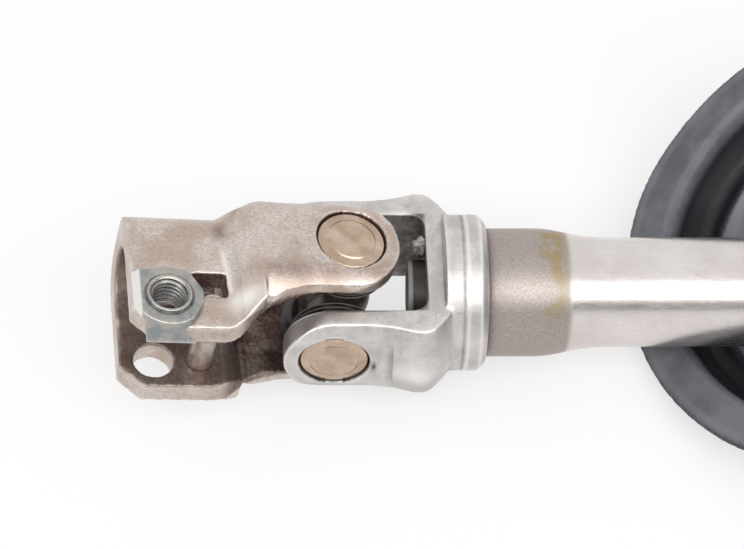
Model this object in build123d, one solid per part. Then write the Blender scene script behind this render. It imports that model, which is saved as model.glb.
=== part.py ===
from build123d import *
import math
import os

# Intermediate steering shaft, in millimetres.
# The shaft's axis is X. The upper clamp's bore is at the origin and the lower joint is at -X.
# Each universal joint has its own frame: X along the shaft, Y along the shaft yoke's cross axis,
# Z along the clamp yoke's cross axis.

# joint places along the shaft
joint_distance = 330.0
lower_swing = 11.5
lower_turn = 6.5

# cross and bearings
face_half = 20.0
round_over = 1.4
yoke_round = face_half + round_over
arm_half = 11.0
cup_radius = 8.0
cup_recess = 0.8
cup_length = 8.2
cup_face = face_half - cup_recess
cup_mouth = cup_face - cup_length
cup_wall = 1.1
cup_base = 1.3
cup_dish_radius = 4.6
cup_dish_depth = 0.35
trunnion_radius = 4.7
needle_radius = 1.06
needle_count = 16
needle_length = 6.6
needle_play = 0.02
thrust_play = 0.12
shoulder_radius = 6.4
seal_room = 1.1
shoulder_height = cup_mouth - seal_room
hub_drop = 1.5
hub_sphere = shoulder_height - hub_drop
seal_play = 0.1
seal_radius = 9.4
seal_ridge = 0.5
seal_length = 2.4
seal_clearance = 0.3
grease_hole = 1.2
bearing_edge = 0.5

# clamp yoke
clamp_end = 49.4
clamp_half = 13.8
clamp_wall = 5.6
clamp_corner = 9.4
corner_steps = 6
bore_radius = 8.5
ear_tip = 21.5
ear_corner = 5.0
shoulder_start = 28.5
shoulder_end = 19.0
arm_wall = 5.1
arm_drop = 1.0
arm_corner = 1.6
shoulder_corner = 4.8
arm_edge_start = 14.0
ear_edge_start = 29.0
edge_step = 1.6
shoulder_step = 4.0
throat_step = 3.0
fork_slot = 8.0
back_end = 26.0
bolt_place = 41.6
bolt_offset = 14.4
bolt_hole = 4.5
nut_thread = 3.4
nut_half = 7.8
nut_top = 7.2
nut_height = 2.2
nut_collar = 4.96
nut_collar_height = 0.7
nut_bevel = 2.0
nut_spigot = 5.0
nut_edge = 0.4
nut_inset = 0.3
nut_mouth = 0.7
pin_place = 31.2
pin_offset = 14.1
pin_radius = 2.95
pin_sink = 2.5
window_end = 28.2
window_top = 6.4
window_height = 6.6
window_length = 7.6

# tube yoke and tube
fork_arm = 6.2
fork_gap = face_half - fork_arm
gap_corner = 3.5
web_room = 1.0
web_thickness = 5.0
web_inner = face_half + web_room
web_outer = web_inner + web_thickness
flare_radius = 23.2
flare_place = 19.6
flare_width = 2.4
swage_radius = 14.8
collar_wall = 3.2
collar_radius = swage_radius + collar_wall
collar_end = 33.0
collar_chamfer = 1.8
collar_groove = 28.8
groove_size = 0.35
socket_depth = 6.6
swage_end = 50.0
tube_radius = 12.65
taper_end = 59.5
tube_wall = 2.25
bare_shaft = 85.0
tube_end = joint_distance - bare_shaft
tube_chamfer = 1.0
plug_radius = 7.6
plug_stand = 4.0
plug_skin = 1.2
plug_flange = 1.4
plug_ledge = 2.4

# sliding inner shaft
sleeve_length = 46.0
sleeve_lip = 1.6
spline_count = 20
spline_outer = 9.0
spline_depth = 1.0
spline_play = 0.05
spline_overlap = 95.0
spline_out = 17.0
spline_start = tube_end - spline_overlap
spline_end = tube_end + spline_out
spline_turns = (0.0, 0.22, 0.34, 0.88)
stem_radius = 7.4
hub_radius = 14.0
hub_length = 15.0

# boot
boot_tilt = 32.3
boot_roll = 7.0
rim_centre_x = 122.7
rim_centre_y = 10.1
rim_centre_z = 11.9
boot_wall = 2.6
bell_round = 1.4
lip_round = 0.4
lip_height = 1.5
lip_width = 3.0
crown_rise = 1.4
ridge_width = 10.5
ridge_drop = 1.0
groove_width = 4.4
groove_depth = 11.3
fold_width = 3.8
fold_depth = 9.6
floor_width = 2.2
floor_margin = 11.6
floor_depth = 12.0
funnel_spread = 2.5
boot_neck_start = 176.0
boot_neck_length = 20.0
neck_ribs = (5.0, 14.0)
neck_rib_width = 2.6
neck_rib_height = 1.2
bush_wall = 1.9
bush_play = 0.08
bush_lip = 1.6
bush_flange = 1.8
bush_radius = tube_radius + bush_play + bush_wall
floor_radius = bush_radius / math.sin(math.radians(boot_tilt)) + floor_margin
fold_radius = floor_radius + floor_width
groove_radius = fold_radius + fold_width
ridge_radius = groove_radius + groove_width
rim_radius = ridge_radius + ridge_width


def ring(outer, inner, start, end):
    """A hollow cylinder along X."""
    solid = Cylinder(outer, end - start) - Cylinder(inner, end - start + 1)
    return Pos((start + end) / 2, 0, 0) * Rot(0, 90, 0) * solid


def rod(radius, start, end):
    """A cylinder along X."""
    return Pos((start + end) / 2, 0, 0) * Rot(0, 90, 0) * Cylinder(radius, end - start)


def turned(points):
    """A solid turned about X from points of place and radius."""
    face = make_face(Polyline([(x, r, 0) for x, r in points], close=True))
    return revolve(face, Axis.X)


def axis_places(axis):
    """The two ends of a cross axis, each turning +Z outwards along that axis."""
    if axis == "Z":
        return {"top": Rot(0, 0, 0), "bottom": Rot(180, 0, 0)}
    return {"front": Rot(90, 0, 0), "back": Rot(-90, 0, 0)}


def make_cup():
    """A drawn bearing cup, closed at its outer face and open towards the cross."""
    body = Pos(0, 0, (cup_face + cup_mouth) / 2) * Cylinder(cup_radius, cup_face - cup_mouth)
    body = chamfer(body.edges().sort_by(Axis.Z)[-1], bearing_edge)
    depth = cup_face - cup_base - cup_mouth
    body -= Pos(0, 0, cup_mouth + depth / 2) * Cylinder(cup_radius - cup_wall, depth)
    body -= Pos(0, 0, cup_face) * Cylinder(cup_dish_radius, 2 * cup_dish_depth)
    return body


def make_needles():
    """The full set of rollers between one cup and its trunnion, each an eight-sided bar."""
    pitch = trunnion_radius + needle_play + needle_radius
    start = cup_face - cup_base - thrust_play - needle_length
    roller = extrude(RegularPolygon(needle_radius, 8), needle_length)
    step = 360 / needle_count
    return [Rot(0, 0, step * i) * Pos(pitch, 0, start) * roller for i in range(needle_count)]


def make_seal():
    """A ribbed rubber seal round the cup's mouth."""
    low = shoulder_height + seal_play
    top = cup_mouth + seal_length
    rib = seal_length / 2
    r = seal_radius
    points = [
        (trunnion_radius + seal_clearance, low), (r - seal_ridge, low), (r, low + rib / 2),
        (r - seal_ridge, low + rib), (r, low + 1.5 * rib), (r - seal_ridge, low + 2 * rib),
        (r, low + 2.5 * rib), (r - seal_ridge, top), (cup_radius, top), (cup_radius, cup_mouth),
        (trunnion_radius + seal_clearance, cup_mouth),
    ]
    face = make_face(Polyline([(x, 0, z) for x, z in points], close=True))
    return revolve(face, Axis.Z)


def make_spider():
    """The forged cross, with four ground trunnions and a grease drilling through each."""
    reach = cup_face - cup_base - thrust_play
    body = Sphere(hub_sphere)
    for places in (axis_places("Z"), axis_places("Y")):
        for turn in places.values():
            journal = Pos(0, 0, reach / 2) * Cylinder(trunnion_radius, reach)
            journal = chamfer(journal.edges().sort_by(Axis.Z)[-1], bearing_edge)
            body += turn * journal
            body += turn * (Pos(0, 0, shoulder_height / 2) * Cylinder(shoulder_radius, shoulder_height))
    for turn in (Rot(0, 0, 0), Rot(90, 0, 0)):
        body -= turn * Cylinder(grease_hole, 2 * reach + 2)
    return body


def cup_bore():
    """The bores for a pair of cups, along Z."""
    return Cylinder(cup_radius, 4 * face_half)


def smooth(start, end, low, high, count):
    """Points of an S-curve between two levels."""
    points = []
    for i in range(count + 1):
        t = i / count
        points.append((start + (end - start) * t, low + (high - low) * (1 - math.cos(math.pi * t)) / 2))
    return points


def envelope_section(x, half, back, corner):
    """One section of the clamp yoke's outside, with its two back corners rounded."""
    front = -2 * ear_tip
    step = math.radians(90 / corner_steps)
    arc = []
    for i in range(corner_steps + 1):
        angle = step * i
        arc.append((back - corner * (1 - math.sin(angle)), half - corner * (1 - math.cos(angle))))
    points = [(front, half)] + arc + [(y, -z) for y, z in reversed(arc)] + [(front, -half)]
    return make_face(Polyline([(x, y, z) for y, z in points], close=True))


def clamp_envelope():
    """The outside of the clamp yoke: its back corners are round at the barrel and tighten to the arms."""
    places = smooth(-shoulder_start, -shoulder_end, clamp_half, face_half, 4)
    corner = shoulder_corner
    corners = (clamp_corner, corner + 1, corner, corner - 0.6, corner - 1.4)
    sections = [(-clamp_end - 1, clamp_half, clamp_half, clamp_corner)]
    for i, (x, half) in enumerate(places):
        back = clamp_half + (arm_half + edge_step / 2 - clamp_half) * i / 4
        sections.append((x, half, back, corners[i]))
    sections.append((-arm_half, face_half, arm_half + arm_corner / 4, arm_corner + 0.8))
    sections.append((arm_half + 1, face_half, arm_half + arm_corner / 4, arm_corner))
    return loft([envelope_section(*section) for section in sections], ruled=True)


def make_clamp_yoke():
    """A pressed yoke: two arms for the cross, and a clamp open between its two ears."""
    outer = [(-clamp_end, clamp_half)]
    outer += smooth(-shoulder_start, -shoulder_end, clamp_half, face_half, 6)
    outer += [(arm_half, face_half)]
    plan = outer + [(x, -z) for x, z in reversed(outer)]
    blank = extrude(make_face(Polyline([(x, 0, z) for x, z in plan], close=True)), 40, both=True)
    side = [(-clamp_end, clamp_half), (-shoulder_start, clamp_half)]
    side += [(-shoulder_start + shoulder_step, arm_half + edge_step)]
    side += [(-shoulder_end + throat_step, arm_half)]
    low = arm_half + arm_drop
    lower = smooth(-arm_edge_start, -ear_edge_start, -low, -ear_tip, 8)
    front = [(-clamp_end + ear_corner, -ear_tip), (-clamp_end, -ear_tip + ear_corner)]
    outline = side + [(0, arm_half), (0, -low)] + lower + front
    profile = make_face(Polyline([(x, y, 0) for x, y in outline], close=True))
    body = blank & extrude(profile, 30, both=True)
    body += blank & Cylinder(arm_half, 60)
    body += blank & (Pos(0, -arm_drop, 0) * Cylinder(arm_half, 60))
    body &= clamp_envelope()
    fork = ring(60, yoke_round, -shoulder_start, 40)
    body -= fork - Pos(-shoulder_start, -30, 0) * Box(2 * fork_slot, 60, 60)
    inner_ear = clamp_half - clamp_wall
    inner_arm = face_half - arm_wall
    inner = [(-clamp_end - 1, inner_ear), (-back_end - throat_step, inner_ear)]
    inner += smooth(-back_end - 1, -shoulder_end + 1.5, inner_ear, inner_arm, 6)
    inner += [(arm_half + 1, inner_arm)]
    plan = inner + [(x, -z) for x, z in reversed(inner)]
    cavity = extrude(make_face(Polyline([(x, 0, z) for x, z in plan], close=True)), 40, both=True)
    channel = cavity & (Pos(-clamp_end, -20, 0) * Box(140, 40, 60))
    body -= channel
    body -= cavity & (Pos(-back_end + 60, 0, 0) * Box(120, 80, 60))
    body -= rod(bore_radius, -clamp_end - 1, -back_end + 1)
    body -= cup_bore()
    bolt = Pos(-bolt_place, -bolt_offset, -clamp_half) * Cylinder(bolt_hole, 2 * clamp_wall + 4)
    body -= bolt
    body -= Pos(-bolt_place, -bolt_offset, clamp_half) * Cylinder(nut_spigot, 2 * clamp_wall + 4)
    seat_high = inner_ear + pin_sink
    body -= Pos(-pin_place, -pin_offset, 0) * Cylinder(pin_radius, 2 * seat_high)
    window = Box(window_length, window_height, 2 * clamp_wall)
    body -= Pos(-window_end - window_length / 2, -window_top - window_height / 2, clamp_half) * window
    return body


def make_nut():
    """A captive nut with a flat top, a rounded foot, a bevelled flank and a raised collar."""
    half = nut_half
    outline = Pos(0, nut_top / 2, 0) * Rectangle(2 * half, nut_top)
    outline += Circle(half)
    side = make_face(Polyline([
        (-half, 0, 0), (half, 0, 0), (half, 0, nut_height - nut_edge), (half - nut_edge, 0, nut_height),
        (-half + nut_bevel, 0, nut_height), (-half, 0, nut_height - nut_bevel),
    ], close=True))
    body = extrude(outline, nut_height) & extrude(side, 2 * half, both=True)
    top = nut_height + nut_collar_height
    body += Pos(0, 0, top / 2) * Cylinder(nut_collar, top)
    spigot = clamp_wall - nut_inset
    body += Pos(0, 0, -spigot / 2) * Cylinder(nut_spigot, spigot)
    body -= Cylinder(nut_thread, 60)
    body -= Pos(0, 0, top - nut_inset) * Cone(nut_thread, nut_thread + nut_mouth, nut_mouth)
    return Pos(-bolt_place, -bolt_offset, clamp_half) * body


def make_pin():
    """The locating pin between the clamp's ears."""
    length = 2 * (clamp_half - clamp_wall + pin_sink)
    return Pos(-pin_place, -pin_offset, 0) * Cylinder(pin_radius, length)


def fork_solid(body_points):
    """The fork of a shaft yoke, turned about X, with two flat sides and a gap for the cross."""
    body = turned(body_points)
    body &= Box(4 * face_half, 2 * flare_radius + 2, 2 * arm_half + 1)
    keep = Pos(40, 0, 0) * Box(80, 80, 80)
    keep += Rot(90, 0, 0) * Cylinder(arm_half + 0.5, 80)
    body &= keep
    flat = Pos(face_half + 10, 0, 0) * Box(20, 80, 80)
    for turn in (Rot(0, 0, 90), Rot(0, 0, -90)):
        body -= (turn * flat) & (Pos(-2, 0, 0) * Box(30, 80, 80))
    gap = Pos(web_inner - 40, 0, 0) * Box(80, 2 * fork_gap, 60)
    gap = fillet(gap.edges().filter_by(Axis.Z).group_by(Axis.X)[-1], gap_corner)
    body -= gap
    body -= Rot(90, 0, 0) * cup_bore()
    return body


def fork_points(hub):
    """The turned outline of a fork, from its arm ends to the hub's radius."""
    rise = flare_radius - yoke_round
    start = arm_half - 3
    top = flare_place - flare_width / 2
    back = flare_place + flare_width / 2
    fall = flare_radius - hub
    return [
        (-arm_half - 1, 0), (-arm_half - 1, yoke_round), (start, yoke_round),
        (start + (top - start) * 0.5, yoke_round + rise * 0.3),
        (start + (top - start) * 0.82, yoke_round + rise * 0.72), (top, flare_radius),
        (back, flare_radius), (back + (web_outer - back) * 0.3, flare_radius - fall * 0.17),
        (back + (web_outer - back) * 0.73, flare_radius - fall * 0.65), (web_outer, hub), (web_outer, 0),
    ]


def make_tube_yoke():
    """The forged yoke that is welded to the tube, with a turned collar behind its web."""
    body = fork_solid(fork_points(collar_radius + 0.6))
    end = collar_end + collar_chamfer
    groove = collar_groove
    start = web_outer - 1
    body += turned([
        (start, 0), (start, collar_radius), (groove, collar_radius),
        (groove + groove_size, collar_radius - groove_size), (groove + 2 * groove_size, collar_radius),
        (collar_end, collar_radius), (end, collar_radius - collar_chamfer), (end, 0),
    ])
    body -= rod(swage_radius, end - socket_depth, end + 1)
    body -= rod(plug_radius + plug_ledge, web_inner + 2, end)
    body -= rod(plug_radius, web_inner - 1, end)
    return body


def make_plug():
    """The dark cap that closes the tube yoke's bore and stands out between the arms."""
    seat = web_inner + 2
    body = ring(plug_radius, plug_radius - plug_skin, web_inner - plug_stand, seat)
    return body + rod(plug_radius + plug_ledge, seat, seat + plug_flange)


def make_tube():
    """The drawn tube, swaged up to the yoke's socket."""
    start = collar_end + collar_chamfer - socket_depth
    wall = tube_wall
    return turned([
        (start, swage_radius), (swage_end, swage_radius), (taper_end - 2.5, tube_radius + 0.5),
        (taper_end, tube_radius), (tube_end - tube_chamfer, tube_radius),
        (tube_end, tube_radius - tube_chamfer),
        (tube_end, tube_radius - wall), (taper_end, tube_radius - wall),
        (swage_end, swage_radius - wall), (start, swage_radius - wall),
    ])


def spline_face(outer, depth, grow):
    """The cross-section of a splined shaft, grown by a clearance."""
    points = []
    for i in range(spline_count):
        for turn, radius in zip(spline_turns, (outer - depth, outer - depth, outer, outer)):
            angle = 2 * math.pi * (i + turn) / spline_count
            points.append(((radius + grow) * math.cos(angle), (radius + grow) * math.sin(angle)))
    return make_face(Polyline(points, close=True))


def along_x(face, start, end):
    """A face in the XY plane extruded along X."""
    return Pos(start, 0, 0) * Rot(0, 90, 0) * extrude(face, end - start)


def make_sleeve():
    """The moulded sleeve between the tube and the splined shaft."""
    start = tube_end - sleeve_length
    body = rod(tube_radius - tube_wall, start, tube_end)
    body += rod(tube_radius - tube_wall / 2, tube_end, tube_end + sleeve_lip)
    return body - along_x(spline_face(spline_outer, spline_depth, spline_play), start - 1, tube_end + 3)


def make_inner_shaft():
    """The sliding shaft, splined where it runs in the sleeve."""
    hub_start = joint_distance - web_outer - hub_length
    body = along_x(spline_face(spline_outer, spline_depth, 0.0), spline_start, spline_end)
    body += turned([
        (spline_end, 0), (spline_end, spline_outer - spline_depth), (spline_end + 2, stem_radius),
        (hub_start + 2, stem_radius), (joint_distance - web_outer + 3.0, stem_radius),
        (joint_distance - web_outer + 3.0, 0),
    ])
    return body


def make_shaft_yoke():
    """The forged yoke on the sliding shaft, in the upper joint's frame and turned to face it."""
    body = fork_solid(fork_points(hub_radius + 2.0))
    end = web_outer + hub_length
    body += turned([
        (web_outer - 3, 0), (web_outer - 3, hub_radius + 0.8), (web_outer + 1, hub_radius),
        (end - 1.5, hub_radius), (end, hub_radius - 1.5), (end, 0),
    ])
    body -= rod(stem_radius, web_outer - 3.0, end + 1)
    return body


def boot_place():
    """The frame of the boot's rim: it is rolled about the tube, and its axis is tilted up from it."""
    return Pos(rim_centre_x, rim_centre_y, rim_centre_z) * Rot(boot_roll, 0, 0) * Rot(0, -boot_tilt, 0)


def offset_points(points, distance):
    """The points of a line moved to its underside by a wall's thickness."""
    moved = []
    for i, (r, z) in enumerate(points):
        r0, z0 = points[max(i - 1, 0)]
        r1, z1 = points[min(i + 1, len(points) - 1)]
        length = math.hypot(r1 - r0, z1 - z0)
        moved.append((r - (z1 - z0) / length * distance, z + (r1 - r0) / length * distance))
    return moved


def boot_skin(points, wall):
    """A thin skin turned about the rim's axis, from its upper points of radius and height."""
    outline = points + offset_points(points, wall)[::-1]
    return revolve(make_face(Polyline([(r, 0, z) for r, z in outline], close=True)), Axis.Z)


def make_boot():
    """The oblique rubber boot: a rim, a ribbed bell, a floor and a neck along the tube."""
    r = rim_radius
    lip = lip_height
    bell = boot_skin([
        (r - 1.5 * lip_round, lip - 1.5 * lip_round), (r - ridge_width / 2, crown_rise),
        (ridge_radius + bell_round, crown_rise - ridge_drop),
        (ridge_radius, -ridge_drop), (ridge_radius - 0.5, -groove_depth / 2),
        (groove_radius + bell_round, -groove_depth + ridge_drop), (groove_radius - 0.2, -groove_depth),
        (groove_radius - 1.6, -groove_depth + 0.3), (fold_radius + 0.6, -fold_depth),
        (fold_radius - 0.8, -fold_depth), (floor_radius, -floor_depth),
    ], boot_wall)
    bead = make_face(Polyline([
        (r, 0, -lip), (r, 0, lip - 3 * lip_round), (r - 2 * lip_round, 0, lip - lip_round),
        (r - lip_width, 0, lip - lip_round),
        (r - lip_width, 0, -lip),
    ], close=True))
    bell += revolve(bead, Axis.Z)
    bell += Pos(0, 0, -floor_depth - boot_wall / 2) * Cylinder(floor_radius + 0.5, boot_wall)
    place = boot_place()
    below = place * Pos(0, 0, -floor_depth - boot_wall / 2 - 2 * r) * Box(8 * r, 8 * r, 4 * r)
    through = place * Pos(0, 0, -floor_depth + 0.5 - 2 * r) * Box(8 * r, 8 * r, 4 * r)
    start = rim_centre_x - floor_radius
    spread = bush_radius + funnel_spread
    outside = turned([
        (start, 0), (start, spread + boot_wall), (boot_neck_start, bush_radius + boot_wall),
        (boot_neck_start, 0),
    ])
    inside = turned([(start, 0), (start, spread), (boot_neck_start, bush_radius), (boot_neck_start, 0)])
    body = place * bell + (outside & below)
    neck_end = boot_neck_start + boot_neck_length
    body += rod(bush_radius + boot_wall, boot_neck_start, neck_end)
    for place_along in neck_ribs:
        rib_start = boot_neck_start + place_along
        body += rod(bush_radius + boot_wall + neck_rib_height, rib_start, rib_start + neck_rib_width)
    body -= inside & through
    body -= rod(bush_radius, boot_neck_start - 0.5, neck_end + 1)
    return body


def make_bush():
    """The plastic ring that lets the boot turn on the tube."""
    bore = tube_radius + bush_play
    neck_end = boot_neck_start + boot_neck_length
    body = ring(bore + bush_wall, bore, boot_neck_start, neck_end + bush_lip)
    return body + ring(bore + bush_wall + bush_flange, bore, neck_end, neck_end + bush_lip)


def save(name, shape):
    """Writes one piece, moved so that the upper clamp's bore is at the origin."""
    solids = shape if isinstance(shape, list) else [shape]
    moved = [Pos(-origin_x, 0, 0) * s for s in solids]
    whole = Compound(children=[s for m in moved for s in m.solids()])
    export_step(whole, f"parts/{name}.step")


origin_x = joint_distance + (clamp_end + back_end) / 2
os.makedirs("parts", exist_ok=True)

# the lower joint swings on the tube yoke's cross axis, then turns on the clamp yoke's
lower_cross = Rot(0, lower_swing, 0)
lower_clamp = lower_cross * Rot(0, 0, lower_turn)
upper = Pos(joint_distance, 0, 0)
upper_turned = upper * Rot(0, 0, 180)

clamp_yoke = make_clamp_yoke()
nut = make_nut()
pin = make_pin()
spider = make_spider()
cup = make_cup()
needles = make_needles()
seal = make_seal()

for joint, cross, clamp, fork in (
    ("lower", lower_cross, lower_clamp, Pos(0, 0, 0)),
    ("upper", upper, upper_turned, upper),
):
    save(f"{joint}_clamp_yoke", clamp * clamp_yoke)
    save(f"{joint}_clamp_nut", clamp * nut)
    save(f"{joint}_locating_pin", clamp * pin)
    save(f"{joint}_spider", cross * spider)
    for carrier, axis in ((clamp, "Z"), (fork, "Y")):
        for side, turn in axis_places(axis).items():
            save(f"{joint}_cup_{side}", carrier * turn * cup)
            save(f"{joint}_needles_{side}", [carrier * turn * n for n in needles])
            save(f"{joint}_seal_{side}", carrier * turn * seal)

save("tube_yoke", make_tube_yoke())
save("yoke_plug", make_plug())
save("outer_tube", make_tube())
save("spline_sleeve", make_sleeve())
save("inner_shaft", make_inner_shaft())
save("shaft_yoke", upper * Rot(0, 0, 180) * make_shaft_yoke())
save("boot", make_boot())
save("boot_bush", make_bush())
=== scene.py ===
import bmesh
import bpy
import numpy as np
from mathutils import Matrix


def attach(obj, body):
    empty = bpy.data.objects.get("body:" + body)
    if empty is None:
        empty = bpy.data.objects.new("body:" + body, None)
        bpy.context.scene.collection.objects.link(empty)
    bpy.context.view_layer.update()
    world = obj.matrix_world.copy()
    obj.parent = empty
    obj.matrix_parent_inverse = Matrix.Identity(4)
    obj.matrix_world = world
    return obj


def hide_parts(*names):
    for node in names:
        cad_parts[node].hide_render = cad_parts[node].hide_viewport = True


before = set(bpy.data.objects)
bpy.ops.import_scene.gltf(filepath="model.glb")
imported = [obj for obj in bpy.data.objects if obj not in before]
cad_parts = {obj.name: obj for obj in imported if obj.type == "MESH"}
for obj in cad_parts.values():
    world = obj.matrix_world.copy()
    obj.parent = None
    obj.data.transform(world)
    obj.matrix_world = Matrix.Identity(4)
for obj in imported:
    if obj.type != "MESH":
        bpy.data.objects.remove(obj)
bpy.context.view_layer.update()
mm = 0.001
print("frame loaded")


# places of the two joints, in millimetres

joints = {
    "lowerX": -367.7,
    "upperX": -37.7,
    "swing": 11.5,  # the lower joint rests a little bent
    "turn": 6.5,
}


def shift(x, y=0.0, z=0.0):
    return np.array(Matrix.Translation((x, y, z)))


def rotation(axis, degrees):
    return np.array(Matrix.Rotation(np.radians(degrees), 4, axis))


lowerFork = shift(joints["lowerX"])
lowerCross = lowerFork @ rotation("Y", joints["swing"])
lowerClamp = lowerCross @ rotation("Z", joints["turn"])
upperCross = shift(joints["upperX"])
upperClamp = upperCross @ rotation("Z", 180)
clamps = {"lower": lowerClamp, "upper": upperClamp}

# each end of a cross axis turns +Z outwards
ends = {
    "top": rotation("X", 0),
    "bottom": rotation("X", 180),
    "front": rotation("X", 90),
    "back": rotation("X", -90),
}


# small tools for shapes

seam = {"grid": 2e-6, "node": 1e-6}  # points closer than this, in metres, are merged


def gridFaces(rows, columns, wrapRows=False, wrapColumns=False):
    # four-sided faces between neighbours of a rows by columns grid of points
    r = np.arange(rows if wrapRows else rows - 1)
    c = np.arange(columns if wrapColumns else columns - 1)
    r, c = np.meshgrid(r, c, indexing="ij")
    nextR, nextC = (r + 1) % rows, (c + 1) % columns
    quads = np.stack([r * columns + c, r * columns + nextC, nextR * columns + nextC, nextR * columns + c], -1)
    return quads.reshape(-1, 4)


def roundedProfile(points, radius, steps=4):
    # each inner corner P becomes the curve (1-t)^2 (P-a) + 2t(1-t) P + t^2 (P+b), with a and b along its two sides,
    # which are radius long, but never more than 0.45 of a side
    p = np.asarray(points, float)
    before, after = p[1:-1] - p[:-2], p[2:] - p[1:-1]
    lengthBefore = np.linalg.norm(before, axis=1, keepdims=True)
    lengthAfter = np.linalg.norm(after, axis=1, keepdims=True)
    reach = np.minimum(radius, 0.45 * np.minimum(lengthBefore, lengthAfter))
    start = p[1:-1] - before / lengthBefore * reach
    end = p[1:-1] + after / lengthAfter * reach
    t = np.linspace(0, 1, steps + 1)[None, :, None]
    curve = (1 - t) ** 2 * start[:, None] + 2 * t * (1 - t) * p[1:-1][:, None] + t**2 * end[:, None]
    return np.vstack([p[:1], curve.reshape(-1, 2), p[-1:]])


def ramp(value, low, high):
    # 0 below low, 1 above high, an S-curve between: 3t^2 - 2t^3
    t = np.clip((value - low) / (high - low), 0, 1)
    return t * t * (3 - 2 * t)


def fall(value, low, high):
    # the same curve downwards: 1 below low, 0 above high
    return ramp(-value, -high, -low)


def bump(value, middle, width):
    # a bell of height 1: exp(-((value - middle) / width)^2)
    return np.exp(-((value - middle) / width) ** 2)


def finishPiece(name, mesh, material, body, replaced=()):
    # puts a mesh in the scene, smooth, on its body
    mesh.polygons.foreach_set("use_smooth", np.ones(len(mesh.polygons), bool))
    mesh.materials.clear()
    mesh.materials.append(material)
    piece = bpy.data.objects.new(name, mesh)
    bpy.context.scene.collection.objects.link(piece)
    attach(piece, body)
    if replaced:
        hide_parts(*replaced)


def inPlace(points, place):
    # points in millimetres as seen from a place's own frame
    return (points - place[:3, 3]) @ place[:3, :3]


def inPart(points, place):
    # the way back, from a place's own frame to the part's
    return points @ place[:3, :3].T + place[:3, 3]


def makeMesh(name, points, faces, place):
    # points in millimetres become a mesh in metres, with merged seams and faces that point outwards
    points = inPart(np.asarray(points, float).reshape(-1, 3), place)
    mesh = bpy.data.meshes.new(name)
    mesh.from_pydata((points * mm).tolist(), [], np.asarray(faces).tolist())
    shell = bmesh.new()
    shell.from_mesh(mesh)
    bmesh.ops.remove_doubles(shell, verts=shell.verts, dist=seam["grid"])
    bmesh.ops.recalc_face_normals(shell, faces=shell.faces)
    shell.to_mesh(mesh)
    shell.free()
    return mesh


def turnedMesh(name, profile, place, turns=96, closed=False):
    # a profile of radius and height turned about Z: (r cos t, r sin t, h)
    t = np.linspace(0, 2 * np.pi, turns, endpoint=False)[:, None]
    r, h = profile[None, :, 0], profile[None, :, 1]
    points = np.stack([r * np.cos(t), r * np.sin(t), h + 0 * t], -1)
    return makeMesh(name, points, gridFaces(turns, len(profile), wrapRows=True, wrapColumns=closed), place)


def meshPoints(mesh, field="co"):
    points = np.empty(3 * len(mesh.vertices), np.float32)
    mesh.vertices.foreach_get(field, points)
    return points.reshape(-1, 3).astype(float)


def movePoints(mesh, local, place):
    mesh.vertices.foreach_set("co", (inPart(local, place) * mm).astype(np.float32).ravel())
    mesh.update()


def placedPoints(mesh, place):
    return inPlace(meshPoints(mesh) / mm, place)


def softened(node, voxel, rounds):
    # a CAD node's copy, merged, remeshed to even faces and relaxed, so that its pressed or forged edges are round
    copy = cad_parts[node].data.copy()
    shell = bmesh.new()
    shell.from_mesh(copy)
    bmesh.ops.remove_doubles(shell, verts=shell.verts, dist=seam["node"])
    shell.to_mesh(copy)
    shell.free()
    worker = bpy.data.objects.new(node + "Worker", copy)
    bpy.context.scene.collection.objects.link(worker)
    remesh = worker.modifiers.new("remesh", "REMESH")
    remesh.mode = "VOXEL"
    remesh.voxel_size = voxel * mm
    relax = worker.modifiers.new("relax", "SMOOTH")
    relax.factor = 0.5
    relax.iterations = rounds
    bpy.context.view_layer.update()
    evaluated = worker.evaluated_get(bpy.context.evaluated_depsgraph_get())
    mesh = bpy.data.meshes.new_from_object(evaluated)
    bpy.data.objects.remove(worker)
    return mesh


def neighbourMean(mesh, values):
    # the mean of each point's neighbours along its edges
    edges = np.empty(2 * len(mesh.edges), np.int32)
    mesh.edges.foreach_get("vertices", edges)
    a, b = edges.reshape(-1, 2).T
    size = len(values)
    count = np.bincount(a, minlength=size) + np.bincount(b, minlength=size)
    columns = values.reshape(size, -1).T
    sums = [np.bincount(a, c[b], size) + np.bincount(b, c[a], size) for c in columns]
    return (np.stack(sums, -1) / np.maximum(count, 1)[:, None]).reshape(values.shape)


def bends(mesh, rounds):
    # above 0 in hollow corners and below 0 on edges: (mean of neighbours - point) . normal, in mm, evened out
    points = meshPoints(mesh) / mm
    bend = ((neighbourMean(mesh, points) - points) * meshPoints(mesh, "normal")).sum(axis=1)
    for _ in range(rounds):
        bend = neighbourMean(mesh, bend)
    return bend


def addAttribute(mesh, name, values):
    attribute = mesh.attributes.new(name, "FLOAT", "POINT")
    attribute.data.foreach_set("value", np.clip(values, 0, 1).astype(np.float32))


# small tools for materials

def linear(hexText):
    # sRGB hex to the linear colour that a shader takes
    value = np.array([int(hexText[i:i + 2], 16) for i in (1, 3, 5)]) / 255
    value = np.where(value <= 0.04045, value / 12.92, ((value + 0.055) / 1.055) ** 2.4)
    return (*[float(v) for v in value], 1.0)


def addNode(tree, kind, values=None):
    # a value is a socket to link, a hex colour, or a plain setting of the node or of its input
    node = tree.nodes.new(kind)
    for key, value in (values or {}).items():
        if isinstance(value, bpy.types.NodeSocket):
            tree.links.new(value, node.inputs[key])
        elif isinstance(value, str) and value.startswith("#"):
            node.inputs[key].default_value = linear(value)
        elif isinstance(key, str) and hasattr(node, key):
            setattr(node, key, value)
        else:
            node.inputs[key].default_value = value
    return node


def startMaterial(name):
    material = bpy.data.materials.new(name)
    material.use_nodes = True
    return material, material.node_tree, material.node_tree.nodes["Principled BSDF"]


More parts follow.
